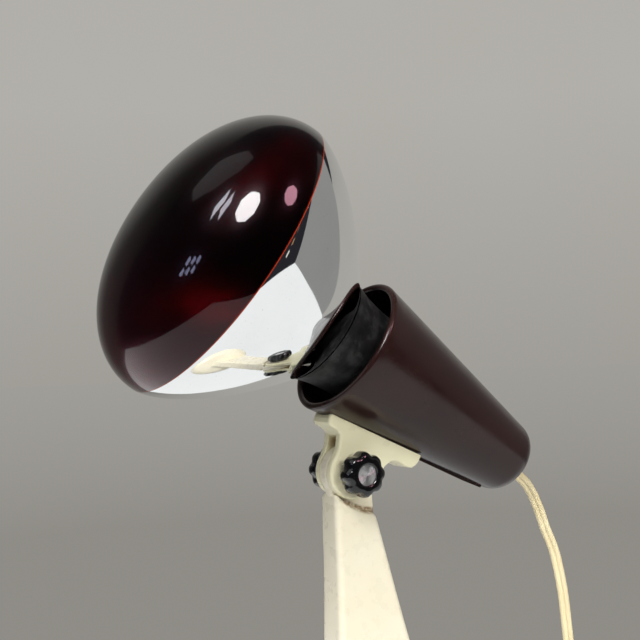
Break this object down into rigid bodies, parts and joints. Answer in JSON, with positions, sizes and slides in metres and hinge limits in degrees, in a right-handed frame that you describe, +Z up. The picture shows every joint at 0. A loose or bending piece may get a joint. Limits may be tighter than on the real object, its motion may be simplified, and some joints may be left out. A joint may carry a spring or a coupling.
{
  "type": "infrared therapy table lamp",
  "caption": "Table-top heat lamp: ruby-fronted reflector bulb in a tapered holder shell that tilts in a knob-clamped clevis on a weighted stand, with coiled twin cord.",
  "frame": {"origin": "centre line of the tilt joint dropped to the underside of the base pad, on the surface the lamp stands on", "axes": "+Z up, -Y the way the lamp faces, X along the tilt axis"},
  "size_m": [0.1529, 0.3051, 0.3246],
  "materials": {
    "ivory_moulding": "satin moulded ivory urea plastic",
    "saddle_moulding": "satin moulded cream plastic",
    "cast_iron": "rough cast",
    "base_steel": "rolled sheet",
    "base_pad": "matt soft pad",
    "screw_steel": "plated steel",
    "friction_fibre": "pressed fibre",
    "cord_sheath": "smooth aged sheath",
    "plug_moulding": "moulded",
    "contact_brass": "turned brass",
    "brown_bakelite": "polished moulded bakelite",
    "black_collar": "matt black enamel",
    "porcelain": "glazed porcelain",
    "holder_brass": "pressed brass",
    "holder_steel": "plated strap",
    "wire_insulation": "insulated conductor",
    "clamp_moulding": "moulded",
    "grommet_rubber": "soft bush",
    "ruby_glass": "deep ruby glass",
    "silvered_glass": "silvered bowl",
    "cap_brass": "nickelled brass cap",
    "cap_insulator": "black glass insulator",
    "solder": "dull solder",
    "clear_glass": "clear stem glass",
    "tungsten": "wound wire",
    "lead_wire": "drawn wire",
    "washer_steel": "plated steel",
    "knob_black": "polished phenolic",
    "spun_aluminium": "spun face"
  },
  "bodies": {
    "stand": {"stand_arm": "ivory_moulding", "base_shell": "ivory_moulding", "base_weight": "cast_iron", "base_plate": "base_steel", "base_pad": "base_pad", "arm_screw_front": "screw_steel", "arm_screw_rear": "screw_steel", "pivot_bolt": "screw_steel", "friction_washer_near": "friction_fibre", "friction_washer_far": "friction_fibre", "cord_tube": "cord_sheath", "cord_coil": "cord_sheath", "plug_body": "plug_moulding", "plug_pin_a": "contact_brass", "plug_pin_b": "contact_brass"},
    "head": {"housing_shell": "brown_bakelite", "heat_collar": "black_collar", "lampholder_body": "porcelain", "lampholder_thread_shell": "holder_brass", "lampholder_contact": "holder_brass", "holder_bracket": "holder_steel", "holder_screw_upper": "screw_steel", "holder_screw_lower": "screw_steel", "terminal_near": "contact_brass", "terminal_far": "contact_brass", "wire_near": "wire_insulation", "wire_far": "wire_insulation", "cord_clamp": "clamp_moulding", "cord_tail": "cord_sheath", "cord_grommet": "grommet_rubber", "saddle": "saddle_moulding", "saddle_screw_front": "screw_steel", "saddle_screw_rear": "screw_steel"},
    "bulb": {"bulb_front": "ruby_glass", "bulb_reflector": "silvered_glass", "bulb_cap": "cap_brass", "bulb_insulator": "cap_insulator", "bulb_tip_contact": "solder", "bulb_stem": "clear_glass", "filament": "tungsten", "filament_lead_near": "lead_wire", "filament_lead_far": "lead_wire"},
    "near_washer": {"clamp_washer_near": "washer_steel"},
    "near_knob": {"knob_near": "knob_black", "knob_disc_near": "spun_aluminium", "knob_insert_near": "contact_brass"},
    "far_washer": {"clamp_washer_far": "washer_steel"},
    "far_knob": {"knob_far": "knob_black", "knob_disc_far": "spun_aluminium", "knob_insert_far": "contact_brass"}
  },
  "joints": [
    {"name": "head_tilt", "type": "hinge", "parent": "stand", "child": "head", "pos_m": [0, 0, 0.178], "axis": [1, 0, 0], "range_deg": [-50, 65], "deforming": ["cord_tube"]},
    {"name": "bulb_turn", "type": "hinge", "parent": "head", "child": "bulb", "pos_m": [0, 0.025, 0.21577], "axis": [0, -0.8339, 0.5519], "range_deg": [0, 720]},
    {"name": "near_washer_slide", "type": "slide", "parent": "stand", "child": "near_washer", "axis": [1, 0, 0], "range_m": [0, 0.0009]},
    {"name": "near_knob_turn", "type": "hinge", "parent": "near_washer", "child": "near_knob", "pos_m": [0.0133, 0, 0.178], "axis": [1, 0, 0], "range_deg": [0, 360]},
    {"name": "far_washer_slide", "type": "slide", "parent": "stand", "child": "far_washer", "axis": [-1, 0, 0], "range_m": [0, 0.0009]},
    {"name": "far_knob_turn", "type": "hinge", "parent": "far_washer", "child": "far_knob", "pos_m": [-0.0133, 0, 0.178], "axis": [-1, 0, 0], "range_deg": [0, 360]}
  ],
  "couplings": [
    {"joint": "near_washer_slide", "follows": "near_knob_turn", "m_per_rad": 0.00012732},
    {"joint": "far_washer_slide", "follows": "far_knob_turn", "m_per_rad": 0.00012732}
  ]
}
